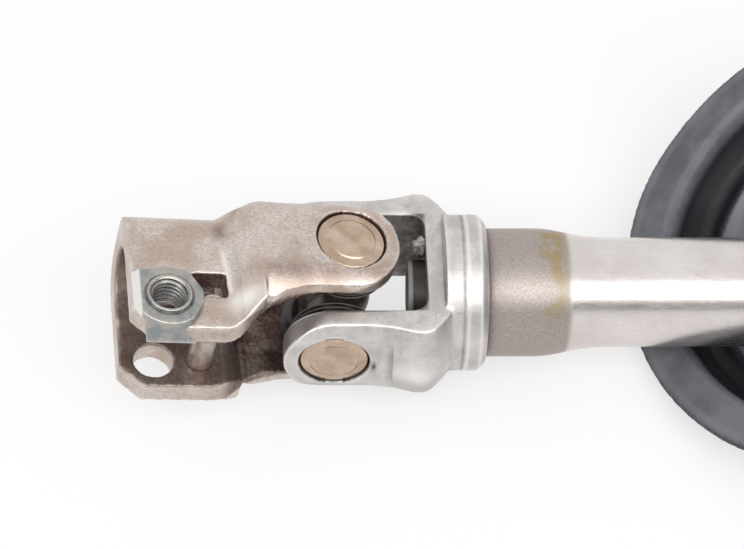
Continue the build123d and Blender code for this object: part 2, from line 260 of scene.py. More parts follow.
def span(low, high, start=0.0, stop=1.0):
    # the bounds that a Map Range node takes
    return {"From Min": low, "From Max": high, "To Min": start, "To Max": stop}


fade = {"interpolation_type": "SMOOTHSTEP"}
tint = {"data_type": "RGBA"}

# cloud, grain and speck are sizes in millimetres, and stretch is along each axis; a real skin's grain is 0.05 to
# 0.2 mm, and is drawn at about 0.4 mm so that it shows

# from where to where each noise shows, and how the dark mark of dirt and painted shade is broken into patches and
# roughens the metal
metalNoise = {"cloud": (0.35, 0.65), "grain": (0.3, 0.7), "speck": (0.64, 0.72), "patch": (0.7, 1.3, 1.12, 0.72),
              "grimeAndShadeRough": 0.22}


def metalNodes(look):
    # bare metal: cloudy tone, fine grain, specks, dirt and rust with painted shade in hollows and on inner walls, and
    # worn edges with painted highlights, each where a point attribute says so
    material, tree, shader = startMaterial(look["name"])
    coordinates = addNode(tree, "ShaderNodeTexCoord").outputs["Object"]
    stretched = addNode(tree, "ShaderNodeMapping", {"Scale": look.get("stretch", (1, 1, 1)), "Vector": coordinates})
    stretched = stretched.outputs["Vector"]
    cloud = addNode(tree, "ShaderNodeTexNoise", {
        "Scale": 1 / (look["cloud"] * mm), "Detail": 4.0, "Roughness": 0.6, "Vector": coordinates}).outputs["Fac"]
    grain = addNode(tree, "ShaderNodeTexNoise", {
        "Scale": 1 / (look["grain"] * mm), "Detail": 3.0, "Roughness": 0.65, "Vector": stretched}).outputs["Fac"]
    speck = addNode(tree, "ShaderNodeTexNoise", {
        "Scale": 1 / (look["speck"] * mm), "Detail": 2.0, "Vector": coordinates}).outputs["Fac"]
    cloudy = addNode(tree, "ShaderNodeMapRange", {**fade, "Value": cloud, **span(*metalNoise["cloud"])})
    color = addNode(tree, "ShaderNodeMix", {**tint, 0: cloudy.outputs[0], 6: look["dark"], 7: look["pale"]})
    grainy = addNode(tree, "ShaderNodeMapRange", {
        **fade, "Value": grain, **span(*metalNoise["grain"], look["grainTone"], 0.0)})
    color = addNode(tree, "ShaderNodeMix", {**tint, 0: grainy.outputs[0], 6: color.outputs[2], 7: look["grainColor"]})
    specked = addNode(tree, "ShaderNodeMapRange", {
        **fade, "Value": speck, **span(*metalNoise["speck"], 0.0, look["speckTone"])})
    color = addNode(tree, "ShaderNodeMix", {**tint, 0: specked.outputs[0], 6: color.outputs[2], 7: look["speckColor"]})
    # pale mark: worn edges and painted highlights
    edge = addNode(tree, "ShaderNodeAttribute", {"attribute_name": "edge"}).outputs["Fac"]
    color = addNode(tree, "ShaderNodeMix", {**tint, 0: edge, 6: color.outputs[2], 7: look["wearAndHighlightColor"]})
    # dark mark: dirt and rust, with painted shade in hollows and on inner walls
    crevice = addNode(tree, "ShaderNodeAttribute", {"attribute_name": "crevice"}).outputs["Fac"]
    patch = addNode(tree, "ShaderNodeMath", {"operation": "ADD", 0: cloud, 1: speck})
    patch = addNode(tree, "ShaderNodeMapRange", {**fade, "Value": patch.outputs[0], **span(*metalNoise["patch"])})
    dirt = addNode(tree, "ShaderNodeMath", {
        "operation": "MULTIPLY", "use_clamp": True, 0: crevice, 1: patch.outputs[0]}).outputs[0]
    color = addNode(tree, "ShaderNodeMix", {**tint, 0: dirt, 6: color.outputs[2], 7: look["dirt"]}).outputs[2]
    tree.links.new(color, shader.inputs["Base Color"])
    rough = addNode(tree, "ShaderNodeMapRange", {"Value": grain, **span(*metalNoise["grain"], *look["rough"])})
    rough = addNode(tree, "ShaderNodeMath", {
        "operation": "MULTIPLY_ADD", "use_clamp": True, 0: dirt, 1: metalNoise["grimeAndShadeRough"], 2: rough.outputs[0]})
    tree.links.new(rough.outputs[0], shader.inputs["Roughness"])
    shader.inputs["Metallic"].default_value = look["metallic"]
    relief = addNode(tree, "ShaderNodeBump", {
        "Strength": look["relief"], "Distance": look["depth"] * mm, "Height": grain})
    tree.links.new(relief.outputs["Normal"], shader.inputs["Normal"])
    return material, tree, shader, coordinates, color


def metalMaterial(look):
    return metalNodes(look)[0]


# Pressed mild steel, pickled bare: warm beige grey, satin, fine grain, brown rust and painted shade in its corners and
# on its inner walls, bright worn edges and painted highlights.
pressedSteel = metalMaterial({
    "name": "pressedMildSteel", "pale": "#ddd4cd", "dark": "#c0ad9f", "cloud": 9.0, "grain": 0.4,
    "stretch": (0.5, 1.0, 1.0), "grainTone": 0.6, "grainColor": "#a09188", "speck": 0.9, "speckTone": 0.4,
    "speckColor": "#85705e", "wearAndHighlightColor": "#f6f1ec", "dirt": "#66504a", "rough": (0.26, 0.42), "metallic": 0.86,
    "relief": 0.5, "depth": 0.07,
})

# Zinc plated steel, passivated: pale grey with a faint blue green film, satin.
zincSteel = metalMaterial({
    "name": "bluePassivatedZinc", "pale": "#b7b0a8", "dark": "#8a9397", "cloud": 4.5, "grain": 0.35,
    "grainTone": 0.3, "grainColor": "#7d7a78", "speck": 0.9, "speckTone": 0.35, "speckColor": "#978a7c",
    "wearAndHighlightColor": "#f2efeb", "dirt": "#3d322a", "rough": (0.24, 0.36), "metallic": 0.88, "relief": 0.12, "depth": 0.04,
})

# Cold drawn pin steel: bright, with brown rust in spots.
pinSteel = metalMaterial({
    "name": "drawnPinSteel", "pale": "#d0c7bf", "dark": "#a99c92", "cloud": 3.0, "grain": 0.4,
    "grainTone": 0.35, "grainColor": "#8a7c71", "speck": 0.8, "speckTone": 0.45, "speckColor": "#6b5540",
    "wearAndHighlightColor": "#e8e2dc", "dirt": "#5a4838", "rough": (0.3, 0.45), "metallic": 0.85, "relief": 0.12, "depth": 0.04,
})

# Forged alloy steel, oiled: dark grey brown scale with a greasy sheen.
crossSteel = metalMaterial({
    "name": "oiledForgedSteel", "pale": "#8b857d", "dark": "#5d5750", "cloud": 4.0, "grain": 0.6,
    "grainTone": 0.4, "grainColor": "#45403a", "speck": 1.0, "speckTone": 0.4, "speckColor": "#3a332b",
    "wearAndHighlightColor": "#a39d95", "dirt": "#2c2722", "rough": (0.32, 0.5), "metallic": 0.8, "relief": 0.2, "depth": 0.06,
})

# Drawn case hardened steel with a tan film: light brown, satin; its turned rings are in the shape, and its near black
# dark colour is painted shade round its rim.
cupSteel = metalMaterial({
    "name": "temperedCupSteel", "pale": "#cdb8a6", "dark": "#b39c88", "cloud": 5.0, "grain": 0.5,
    "grainTone": 0.25, "grainColor": "#9c8672", "speck": 1.6, "speckTone": 0.15, "speckColor": "#8b7660",
    "wearAndHighlightColor": "#e0cdbb", "dirt": "#1f1a16", "rough": (0.2, 0.3), "metallic": 0.9, "relief": 0.1, "depth": 0.03,
})

# Ground roller steel: bright and even.
needleSteel = metalMaterial({
    "name": "groundRollerSteel", "pale": "#d0cfcc", "dark": "#b4b2ae", "cloud": 3.0, "grain": 0.4,
    "grainTone": 0.15, "grainColor": "#8e8c88", "speck": 0.6, "speckTone": 0.1, "speckColor": "#8a857c",
    "wearAndHighlightColor": "#e6e5e2", "dirt": "#4a443c", "rough": (0.2, 0.28), "metallic": 0.95, "relief": 0.05, "depth": 0.02,
})

# Shot blasted forging: pale silver, matte, with a fine pitted skin, bright worn edges and painted highlights, and
# painted shade with some dirt between its arms.
blastedSteel = metalMaterial({
    "name": "shotBlastedForging", "pale": "#dcd7d4", "dark": "#c3bfbc", "cloud": 6.0, "grain": 0.42,
    "grainTone": 0.34, "grainColor": "#a3a09d", "speck": 1.3, "speckTone": 0.25, "speckColor": "#908b86",
    "wearAndHighlightColor": "#f4f2ef", "dirt": "#4f4b47", "rough": (0.34, 0.48), "metallic": 0.84, "relief": 0.4, "depth": 0.08,
})

# Cold drawn spline steel, lightly greased.
splineSteel = metalMaterial({
    "name": "drawnSplineSteel", "pale": "#c2bfb9", "dark": "#a19e98", "cloud": 8.0, "grain": 0.5,
    "stretch": (0.3, 1.0, 1.0), "grainTone": 0.3, "grainColor": "#85827c", "speck": 1.0, "speckTone": 0.3,
    "speckColor": "#6e665a", "wearAndHighlightColor": "#d8d6d1", "dirt": "#3e3a34", "rough": (0.26, 0.4), "metallic": 0.88,
    "relief": 0.12, "depth": 0.04,
})


def tubeMaterial(look):
    # drawn tube steel, told by the distance along X: polished along its length, but dark, matte and grainy on the
    # swaged end, with an olive stain on the band's upper end
    material, tree, shader, coordinates, color = metalNodes(look)
    along = addNode(tree, "ShaderNodeSeparateXYZ", {"Vector": coordinates})
    x, z = along.outputs["X"], along.outputs["Z"]
    start = addNode(tree, "ShaderNodeMapRange", {**fade, "Value": x, **span(*look["bandStart"])})
    stop = addNode(tree, "ShaderNodeMapRange", {**fade, "Value": x, **span(*look["bandEnd"], 1.0, 0.0)})
    band = addNode(tree, "ShaderNodeMath", {
        "operation": "MULTIPLY", 0: start.outputs[0], 1: stop.outputs[0]}).outputs[0]
    grain = addNode(tree, "ShaderNodeTexNoise", {
        "Scale": 1 / (look["bandGrain"] * mm), "Detail": 4.0, "Roughness": 0.7, "Vector": coordinates}).outputs["Fac"]
    grainy = addNode(tree, "ShaderNodeMapRange", {**fade, "Value": grain, **span(*metalNoise["grain"])})
    matte = addNode(tree, "ShaderNodeMix", {
        **tint, 0: grainy.outputs[0], 6: look["bandDark"], 7: look["bandPale"]}).outputs[2]
    cloud = addNode(tree, "ShaderNodeTexNoise", {
        "Scale": 1 / (look["stainCloud"] * mm), "Detail": 4.0, "Vector": coordinates}).outputs["Fac"]
    away = addNode(tree, "ShaderNodeMath", {"operation": "SUBTRACT", 0: x, 1: look["stainX"]})
    away = addNode(tree, "ShaderNodeMath", {"operation": "ABSOLUTE", 0: away.outputs[0]})
    nearX = addNode(tree, "ShaderNodeMapRange", {
        **fade, "Value": away.outputs[0], **span(*look["stainReach"], 1.0, 0.0)})
    high = addNode(tree, "ShaderNodeMapRange", {**fade, "Value": z, **span(*look["stainHeight"])})
    blotch = addNode(tree, "ShaderNodeMapRange", {**fade, "Value": cloud, **span(*look["stainBlotch"])})
    stain = addNode(tree, "ShaderNodeMath", {"operation": "MULTIPLY", 0: nearX.outputs[0], 1: high.outputs[0]})
    stain = addNode(tree, "ShaderNodeMath", {"operation": "MULTIPLY", 0: stain.outputs[0], 1: blotch.outputs[0]})
    matte = addNode(tree, "ShaderNodeMix", {**tint, 0: stain.outputs[0], 6: matte, 7: look["stain"]}).outputs[2]
    whole = addNode(tree, "ShaderNodeMix", {**tint, 0: band, 6: color, 7: matte})
    tree.links.new(whole.outputs[2], shader.inputs["Base Color"])
    polished = shader.inputs["Roughness"].links[0].from_socket
    rough = addNode(tree, "ShaderNodeMix", {"data_type": "FLOAT", 0: band, 2: polished, 3: look["bandRough"]})
    tree.links.new(rough.outputs[0], shader.inputs["Roughness"])
    return material


tubeSteel = tubeMaterial({
    "name": "drawnTubeSteel", "pale": "#e2dcd9", "dark": "#d4cdc9", "cloud": 22.0, "grain": 0.45,
    "stretch": (0.1, 1.0, 1.0), "grainTone": 0.16, "grainColor": "#b0a79e", "speck": 1.6, "speckTone": 0.12,
    "speckColor": "#9a9083", "wearAndHighlightColor": "#f0ece8", "dirt": "#6b6458", "rough": (0.22, 0.29), "metallic": 0.94,
    "relief": 0.05, "depth": 0.03,
    # the matte band and its stain: places along X and heights, in metres
    "bandStart": (-333.8 * mm, -333.2 * mm), "bandEnd": (-315.1 * mm, -313.3 * mm), "bandGrain": 0.4,
    "bandDark": "#9a918d", "bandPale": "#b8aea8", "bandRough": 0.47, "stain": "#a08c52", "stainX": -318.2 * mm,
    "stainReach": (1.2 * mm, 4.4 * mm), "stainHeight": (4 * mm, 12 * mm), "stainCloud": 4.7619,
    "stainBlotch": (0.42, 0.6, 0.0, 0.65),
})


softNoise = {"dust": (0.36, 0.68), "grain": (0.3, 0.7)}  # from where to where each noise shows


def softMaterial(look):
    # moulded rubber or plastic: even colour with a dusty bloom, satin sheen and a faint moulded grain, painted shade in
    # hollows and painted highlights on edges
    material, tree, shader = startMaterial(look["name"])
    coordinates = addNode(tree, "ShaderNodeTexCoord").outputs["Object"]
    cloud = addNode(tree, "ShaderNodeTexNoise", {
        "Scale": 1 / (look["cloud"] * mm), "Detail": 5.0, "Roughness": 0.6, "Vector": coordinates}).outputs["Fac"]
    grain = addNode(tree, "ShaderNodeTexNoise", {
        "Scale": 1 / (look["grain"] * mm), "Detail": 3.0, "Vector": coordinates}).outputs["Fac"]
    dust = addNode(tree, "ShaderNodeMapRange", {
        **fade, "Value": cloud, **span(*softNoise["dust"], 0.0, look["bloomTone"])})
    color = addNode(tree, "ShaderNodeMix", {**tint, 0: dust.outputs[0], 6: look["color"], 7: look["dustAndHighlight"]})
    # dark mark: painted shade in hollows and folds
    crevice = addNode(tree, "ShaderNodeAttribute", {"attribute_name": "crevice"}).outputs["Fac"]
    color = addNode(tree, "ShaderNodeMix", {**tint, 0: crevice, 6: color.outputs[2], 7: look["deep"]})
    # pale mark: painted highlights on ridges, edges and rims, in the bloom's colour
    edge = addNode(tree, "ShaderNodeAttribute", {"attribute_name": "edge"}).outputs["Fac"]
    color = addNode(tree, "ShaderNodeMix", {**tint, 0: edge, 6: color.outputs[2], 7: look["dustAndHighlight"]})
    tree.links.new(color.outputs[2], shader.inputs["Base Color"])
    rough = addNode(tree, "ShaderNodeMapRange", {"Value": grain, **span(*softNoise["grain"], *look["rough"])})
    tree.links.new(rough.outputs[0], shader.inputs["Roughness"])
    shader.inputs["IOR"].default_value = look["ior"]
    if "shine" in look:
        # dark hollows shine less than the open faces
        shine = addNode(tree, "ShaderNodeMapRange", {"Value": crevice, **span(0, 1, *look["shine"])})
        tree.links.new(shine.outputs[0], shader.inputs["Specular IOR Level"])
    relief = addNode(tree, "ShaderNodeBump", {
        "Strength": look["relief"], "Distance": look["depth"] * mm, "Height": grain})
    tree.links.new(relief.outputs["Normal"], shader.inputs["Normal"])
    return material


# Moulded EPDM: slate black, satin, with a pale dusty bloom in patches, painted highlights on its ridge, border and
# round edges, and painted shade in its hollow.
bootRubber = softMaterial({
    "name": "mouldedRubber", "color": "#4e5056", "dustAndHighlight": "#85878d", "deep": "#141418", "cloud": 16.0, "grain": 0.6,
    "bloomTone": 0.45, "rough": (0.36, 0.5), "ior": 1.52, "shine": (0.5, 0.2), "relief": 0.12, "depth": 0.05,
})

# Nitrile seal rubber, greasy: deep black, with a wet sheen and painted highlights on its ribs.
sealRubber = softMaterial({
    "name": "greasyNitrile", "color": "#171516", "dustAndHighlight": "#5a524d", "deep": "#080808", "cloud": 4.0, "grain": 0.4,
    "bloomTone": 0.5, "rough": (0.2, 0.32), "ior": 1.5, "relief": 0.1, "depth": 0.03,
})

# Moulded acetal: black, slightly glossy.
blackAcetal = softMaterial({
    "name": "mouldedBlackAcetal", "color": "#232325", "dustAndHighlight": "#3c3c3f", "deep": "#0c0c0d", "cloud": 8.0,
    "grain": 0.5, "bloomTone": 0.4, "rough": (0.36, 0.48), "ior": 1.48, "relief": 0.06, "depth": 0.03,
})

# Worked grease with metal dust in it: grey brown, wet.
dustyGrease = softMaterial({
    "name": "dustyGrease", "color": "#5d5852", "dustAndHighlight": "#bdb9b2", "deep": "#25221f", "cloud": 1.1, "grain": 0.3,
    "bloomTone": 0.9, "rough": (0.14, 0.3), "ior": 1.48, "relief": 0.4, "depth": 0.1,
})

# Natural nylon: milky cream, satin, with grease in its pores.
naturalNylon = softMaterial({
    "name": "naturalNylon", "color": "#d8d3c4", "dustAndHighlight": "#b5ac94", "deep": "#7d7460", "cloud": 6.0, "grain": 0.5,
    "bloomTone": 0.5, "rough": (0.38, 0.5), "ior": 1.53, "relief": 0.06, "depth": 0.03,
})

# Moulded nitrile: brown black, dull, with a painted highlight on its rim.
plugRubber = softMaterial({
    "name": "dustyNitrile", "color": "#2b2826", "dustAndHighlight": "#a5a19e", "deep": "#0c0b0b", "cloud": 5.0, "grain": 0.5,
    "bloomTone": 0.08, "rough": (0.45, 0.6), "ior": 1.5, "relief": 0.15, "depth": 0.04,
})

print("materials made")


# yokes: forged and pressed shapes keep the CAD's form, with round edges, rust and painted shade in corners and on inner
# walls, and worn edges with painted highlights

# millimetres; a pair is where a ramp or a fall starts and ends, or a bump's middle and width
# cup and cupOut place painted shade on the cup hole's wall; corner gives rust with painted shade in hollow corners,
# edge gives worn edges with painted highlights
yokeLook = {
    "voxel": 0.43, "rounds": 2, "evenings": 6, "cup": (8.02, 8.2), "cupOut": (15, 16), "corner": (0.006, 0.035),
    "edge": (0.012, 0.05), "cornerDirtShade": 0.6, "edgeWearHighlight": 0.75,
    # the arms' roots
    "root": 1.7, "spread": 1.3, "rootX": -16.0, "rootLength": 4.5, "inner": (12.8, 14.0), "innerEnd": (15.2, 16.6),
    "innerSide": (4, 7), "front": (-10, -5), "frontOut": (12.5, 13.5),
}


def thickenRoots(local):
    # where an arm leaves the shoulder, its inner face comes in by root b and its front edge goes out by spread b, with
    # b = exp(-((x + 16) / 4.5)^2), faded to nothing away from that face and that edge
    look = yokeLook
    x, y, z = local.T
    bulge, out = bump(x, look["rootX"], look["rootLength"]), np.abs(z)
    inner = ramp(out, *look["inner"]) * fall(out, *look["innerEnd"]) * ramp(np.abs(y), *look["innerSide"])
    front = fall(y, *look["front"]) * ramp(out, *look["frontOut"])
    return np.stack([x, y - look["spread"] * bulge * front, z - np.sign(z) * look["root"] * bulge * inner], -1)


def dressYoke(node, place, material, body, cupAxis, inside, rubbed):
    # the first function gives painted shade, with some dirt, on inner walls and in hollows, and the second gives
    # painted highlights, both from the local x, y and z
    look = yokeLook
    mesh = softened(node, look["voxel"], look["rounds"])
    local = placedPoints(mesh, place)
    if cupAxis == "Z":
        local = thickenRoots(local)
        movePoints(mesh, local, place)
    x, y, z = local.T
    across, out = (y, z) if cupAxis == "Z" else (z, y)
    # painted shade on the wall of the cup's hole; from the bends, rust with painted shade in hollow corners, and worn
    # edges with painted highlights
    hole = fall(np.hypot(x, across), *look["cup"]) * ramp(np.abs(out), *look["cupOut"])
    bend = bends(mesh, look["evenings"])
    corner, edge = ramp(bend, *look["corner"]), ramp(-bend, *look["edge"])
    addAttribute(mesh, "crevice", np.maximum.reduce([hole, look["cornerDirtShade"] * corner, inside(x, y, z)]))
    addAttribute(mesh, "edge", np.maximum(look["edgeWearHighlight"] * edge, rubbed(x, y, z)) * (1 - hole))
    finishPiece(node + "_skin", mesh, material, body, [node])


# a window's or a step's three numbers are its middle, and where it fades out to its side
# painted shade, with dirt in the bore, on the clamp's inner walls and under its arm's edge; painted highlights on a
# patch and a step
clampMarks = {
    "bore": (8.6, 9.3), "boreEnd": (-24, -20), "boreDirtShade": 0.6,
    "slot": (8.3, 8.9), "slotFront": (-8, -3), "slotEnd": (-24, -18), "slotShade": 0.78,
    "gap": (15.0, 15.7), "gapStart": (-27, -22), "gapShade": 0.95,
    "windowX": (-32.0, 3.9, 4.4), "windowY": (-9.7, 3.4, 3.9), "windowTop": (13.4, 13.7), "windowLow": (7, 9),
    "rootX": (-28.5, 1.6), "rootY": (5.5, 3.0), "rootOut": (12, 13), "rootShade": 0.6,
    "armEdge": (-9.0, 1.8), "armStart": (-22, -18), "armOut": (16, 17), "armShade": 0.42,
    "patchX": (-24.8, 3.2), "patchY": (-14.6, 3.0), "out": (13, 14),
    "step": (-28.45, 0.6), "stepSlope": 0.085, "stepY": (-6.4, 5, 7.5), "stepHighlight": 0.7,
}


def clampInside(x, y, z):
    # painted shade, with dirt in the bore, on the walls of the bore, of the slot between the ears and of the gap
    # between the arms
    marks, out = clampMarks, np.abs(z)
    bore = fall(np.hypot(y, z), *marks["bore"]) * fall(x, *marks["boreEnd"])
    slotWall = fall(out, *marks["slot"]) * fall(y, *marks["slotFront"]) * fall(x, *marks["slotEnd"])
    gapWall = fall(out, *marks["gap"]) * ramp(x, *marks["gapStart"])
    # painted shade on the window's walls, in the corner where the shoulder leaves the barrel and along the near arm's
    # lower edge
    (middleX, *sideX), (middleY, *sideY) = marks["windowX"], marks["windowY"]
    window = fall(np.abs(x - middleX), *sideX) * fall(np.abs(y - middleY), *sideY)
    window = window * fall(out, *marks["windowTop"]) * ramp(out, *marks["windowLow"])
    root = bump(x, *marks["rootX"]) * bump(y, *marks["rootY"]) * ramp(out, *marks["rootOut"])
    armEdge = bump(y, *marks["armEdge"]) * ramp(x, *marks["armStart"]) * ramp(out, *marks["armOut"])
    return np.maximum.reduce([
        marks["boreDirtShade"] * bore, marks["slotShade"] * slotWall, marks["gapShade"] * gapWall, window,
        marks["rootShade"] * root, marks["armShade"] * armEdge])


def clampRubbed(x, y, z):
    # painted highlights: a bright patch at the shoulder's root, and a line along the slanting step from the barrel to
    # the shoulder
    marks, out = clampMarks, ramp(np.abs(z), *clampMarks["out"])
    patch = bump(x, *marks["patchX"]) * bump(y, *marks["patchY"]) * out
    middle, *side = marks["stepY"]
    step = bump(x + marks["stepSlope"] * y, *marks["step"]) * fall(np.abs(y - middle), *side) * out
    return np.maximum(patch, marks["stepHighlight"] * step)


# painted shade on the arms' inner faces, in the collar's groove and on the stake; painted highlights on the collar's
# turned edges and on the arm's face
forkMarks = {
    "gap": (13.8, 14.4), "gapEnd": (20.4, 21.6), "gapShade": 0.5, "gapDeepShade": 0.35, "gapDepth": (9, 20),
    "groove": (29.2, 0.3), "grooveOut": (16.5, 17.5), "grooveShade": 0.55,
    "stakeX": (8.9, 0.55), "stakeZ": (-1.6, 1.5), "stakeOut": (18.5, 19.2), "stakeShade": 0.95,
    "collar": (30.1, 33.2), "collarWidth": 0.4, "collarOut": (16.0, 17.0), "collarHighlight": 0.7,
    "faceX": (18.0, 4.5), "faceZ": (-1.0, 4.0), "faceOut": (17, 19), "faceHighlight": 0.8,
}


def forkInside(x, y, z):
    # painted shade, with some dirt, on the inner faces of the arms, darkest in the bottom of the gap, and in the
    # collar's groove
    marks, out = forkMarks, np.abs(y)
    gapWall = fall(out, *marks["gap"]) * fall(x, *marks["gapEnd"])
    deep = marks["gapShade"] + marks["gapDeepShade"] * ramp(x, *marks["gapDepth"])
    groove = bump(x, *marks["groove"]) * ramp(np.hypot(y, z), *marks["grooveOut"])
    # stake: painted shade where the metal is punched over the cup's edge
    stake = bump(x, *marks["stakeX"]) * bump(z, *marks["stakeZ"]) * ramp(out, *marks["stakeOut"])
    return np.maximum.reduce([gapWall * deep, marks["grooveShade"] * groove, marks["stakeShade"] * stake])


def forkRubbed(x, y, z):
    # painted highlights: lines on the collar's turned edges, and a pale patch where the arm spreads into the web
    marks = forkMarks
    turned = sum(bump(x, edge, marks["collarWidth"]) for edge in marks["collar"])
    turned = turned * ramp(np.hypot(y, z), *marks["collarOut"])
    face = bump(x, *marks["faceX"]) * bump(z, *marks["faceZ"]) * ramp(np.abs(y), *marks["faceOut"])
    return np.maximum(marks["collarHighlight"] * turned, marks["faceHighlight"] * face)


for joint, place in clamps.items():
    dressYoke(f"{joint}_clamp_yoke", place, pressedSteel, f"{joint}_clamp", "Z", clampInside, clampRubbed)
dressYoke("tube_yoke", lowerFork, blastedSteel, "shaft", "Y", forkInside, forkRubbed)
dressYoke("shaft_yoke", upperClamp, blastedSteel, "slider", "Y", forkInside, forkRubbed)
print("yokes dressed")


# clamp nuts, with a real thread cut in the bore

nutLook = {
    "voxel": 0.2, "rounds": 2, "evenings": 4, "x": -41.6, "y": -14.4, "bore": 3.4,
    # the thread
    "root": 0.62, "pitch": 1.25, "wall": (0.15, 0.35), "mouth": (15.9, 16.3), "foot": (8.9, 9.3),
    "flare": 0.75, "flareWall": (0.5, 0.9), "flareRise": (15.2, 16.8), "leastRadius": 1e-3,
    # the free end, and the skirt over the ear's edge
    "flat": 7.3, "cut": 60, "cutRise": (13.4, 13.8), "skirt": -7.5, "drop": 5.2, "skirtFront": (-4.0, -1.5),
    "skirtSide": (-5.4, -4.4), "skirtOut": (6.0, 6.5), "skirtTop": (13.9, 15.2),
    # worn edges with painted highlights, painted highlights on the facet and the thread's crests, painted shade in the
    # thread's grooves and corners, a painted shadow round the collar's foot
    "edge": (0.006, 0.025), "corner": (0.004, 0.02), "facet": (-6.3, -5.9), "facetRise": (13.9, 14.2),
    "collar": (4.9, 5.1), "collarEnd": (5.2, 5.9), "collarRise": (15.7, 15.9), "collarTop": (16.1, 16.4),
    "edgeWearHighlight": 0.8, "facetHighlight": 0.85, "threadHighlight": 0.25, "threadShade": 0.9, "cornerDirtShade": 0.6,
    "collarShadow": 0.8,
}


def dressNut(node, place, body):
    # thread: the bore's radius grows by root (1 - |2 frac(z / pitch - turn) - 1|), which goes once round per pitch
    look = nutLook
    mesh = softened(node, look["voxel"], look["rounds"])
    local = placedPoints(mesh, place)
    u, v, z = local[:, 0] - look["x"], local[:, 1] - look["y"], local[:, 2]
    radius = np.hypot(u, v)
    depth = radius - look["bore"]
    phase = (z / look["pitch"] - np.arctan2(v, u) / (2 * np.pi)) % 1
    groove = 1 - np.abs(2 * phase - 1)
    wall = fall(depth, *look["wall"]) * fall(z, *look["mouth"]) * ramp(z, *look["foot"])
    # mouth: the thread opens out to a thin lip at the collar's top
    mouth = fall(depth, *look["flareWall"]) * ramp(z, *look["flareRise"])
    grown = 1 + (look["root"] * groove * wall + look["flare"] * mouth) / np.maximum(radius, look["leastRadius"])
    u, v = u * grown, v * grown
    # the free end's two corners are cut as on a hexagon: u sin 60 + v cos 60 stays under flat
    across, along = np.sin(np.radians(look["cut"])), np.cos(np.radians(look["cut"]))
    top = ramp(z, *look["cutRise"])
    for side in (1, -1):
        over = np.maximum(u * across + side * v * along - look["flat"], 0) * top
        u, v = u - over * across, v - side * over * along
    # skirt: the flank's lower half spreads out to the ear's front edge and is drawn down over it
    skirt = fall(v, *look["skirtFront"]) * ramp(u, *look["skirtSide"]) * ramp(radius, *look["skirtOut"])
    skirt = skirt * fall(z, *look["skirtTop"])
    v, z = v + (look["skirt"] - v) * skirt, z - look["drop"] * skirt
    bend = bends(mesh, look["evenings"])
    facet = fall(u, *look["facet"]) * ramp(z, *look["facetRise"])
    foot = ramp(radius, *look["collar"]) * fall(radius, *look["collarEnd"])
    foot = foot * ramp(z, *look["collarRise"]) * fall(z, *look["collarTop"])
    # pale: worn edges with painted highlights, and painted highlights on the left facet and the thread's crests
    addAttribute(mesh, "edge", np.maximum.reduce([
        look["edgeWearHighlight"] * ramp(-bend, *look["edge"]), look["facetHighlight"] * facet,
        look["threadHighlight"] * wall * (1 - groove)]))
    # dark: painted shade in the thread's grooves and hollow corners, and a painted shadow round the collar's foot
    addAttribute(mesh, "crevice", np.maximum.reduce([
        look["threadShade"] * wall * groove, look["cornerDirtShade"] * ramp(bend, *look["corner"]),
        look["collarShadow"] * foot]))
    movePoints(mesh, np.stack([look["x"] + u, look["y"] + v, z], -1), place)
    finishPiece(node + "_skin", mesh, zincSteel, body, [node])


for joint, place in clamps.items():
    dressNut(f"{joint}_clamp_nut", place, f"{joint}_clamp")


# serrations in the clamp's bore, on the wall that the slot leaves

serrationLook = {"teeth": 20, "steps": 8, "radius": 8.58, "depth": 0.4, "start": -46.4, "end": -26.8, "from": -12.0,
                 "to": 192.0, "runOut": 0.5, "dirt": 0.5}


def addSerrations(name, place, body):
    # r = radius - depth (1 - |2 frac(teeth s) - 1|), with s from 0 to 1 round the wall; its two ends sink into the wall
    look = serrationLook
    s = np.linspace(0, 1, look["teeth"] * look["steps"] + 1)[None, :]
    angle = np.radians(look["from"] + (look["to"] - look["from"]) * s)
    tooth = 1 - np.abs(2 * ((look["teeth"] * s) % 1) - 1)
    x = np.array([look["start"], look["start"] + look["runOut"], look["end"] - look["runOut"], look["end"]])[:, None]
    lift = np.array([0.0, 1.0, 1.0, 0.0])[:, None]
    radius = look["radius"] - look["depth"] * tooth * lift
    points = np.stack([x + 0 * s, radius * np.sin(angle), radius * np.cos(angle)], -1)
    mesh = makeMesh(name, points, gridFaces(*points.shape[:2]), place)
    # the whole strip darkened evenly: painted shade inside the bore, with dirt
    addAttribute(mesh, "crevice", np.full(len(mesh.vertices), look["dirt"]))
    finishPiece(name, mesh, pressedSteel, body)


for joint, place in clamps.items():
    addSerrations(f"{joint}_bore_serrations", place, f"{joint}_clamp")
print("clamps finished")


# bearing cups, with turned rings in their faces, and ribbed seals

cupLook = {
    "radius": 8.0, "face": 19.65, "mouth": 11.0, "wall": 1.1, "base": 1.3, "edge": 0.5, "crown": 0.45, "round": 0.3,
    "play": 0.02, "boss": (5.0, 5.8), "bossHeight": 0.34, "rings": (1.2, 2.6), "ringWidth": 0.5, "ringDepth": 0.1,
    "rows": 90, "turns": 80, "dirt": (7.65, 7.9),
}


